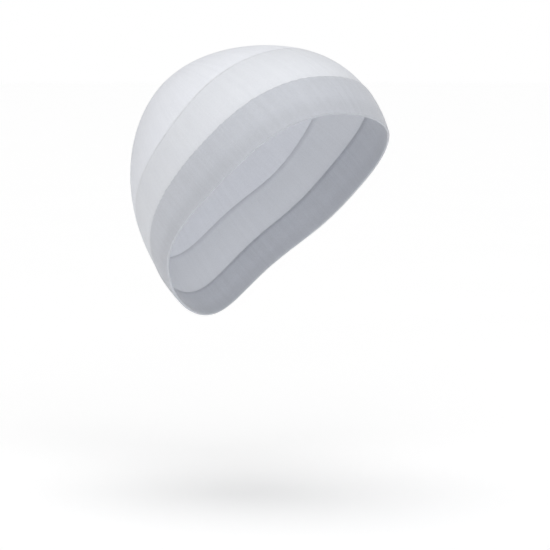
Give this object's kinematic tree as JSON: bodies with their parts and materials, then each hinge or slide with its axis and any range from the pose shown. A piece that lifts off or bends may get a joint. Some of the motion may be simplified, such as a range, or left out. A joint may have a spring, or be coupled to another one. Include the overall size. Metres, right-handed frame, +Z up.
{
  "type": "nylon wig cap",
  "caption": "Sheer knitted cap worn under a wig, closed over the crown, with a denser zone and a doubled grip band from forehead to nape.",
  "frame": {"origin": "highest point of the inside of the crown, where the cap sits on the top of the head", "axes": "+Z up, the face looks along -Y, +X to the wearer's left"},
  "size_m": [0.15, 0.1824, 0.1835],
  "materials": {
    "sheer_nylon": "fine sheer single knit, smooth, slightly silky",
    "dense_nylon": "denser single knit, smooth and matt",
    "double_nylon": "doubled fine knit with the wales showing, matt"
  },
  "bodies": {
    "root": {"crown": "sheer_nylon", "shadow_welt": "dense_nylon", "welt_band": "double_nylon"}
  },
  "joints": []
}
